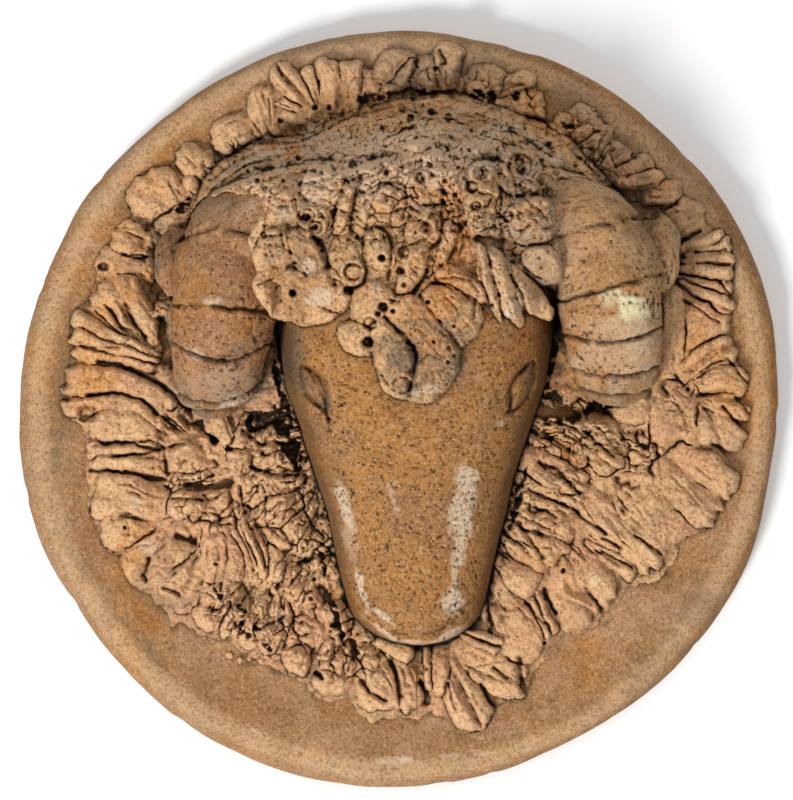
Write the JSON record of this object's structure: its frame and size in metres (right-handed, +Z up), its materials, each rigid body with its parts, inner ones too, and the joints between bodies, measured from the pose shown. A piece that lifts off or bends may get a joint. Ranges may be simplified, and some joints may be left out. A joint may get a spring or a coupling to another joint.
{
  "type": "pottery wall plaque",
  "caption": "Round fired-clay wall plaque with a ram's head in high relief, coiled ringed horns, a curled forelock and a collar of pressed clay wool locks.",
  "frame": {"origin": "the middle of the flat back, on the wall plane", "axes": "+X to the viewer's right, +Y out of the back and into the wall, +Z up the wall; the ram's face looks along -Y"},
  "size_m": [0.2806, 0.0689, 0.2791],
  "materials": {
    "fired_clay": "unglazed grogged earthenware, matt, mottled ochre and pink-buff with dark lines left in the grooves"
  },
  "bodies": {
    "root": {"ram_head_plaque": "fired_clay"}
  },
  "joints": []
}
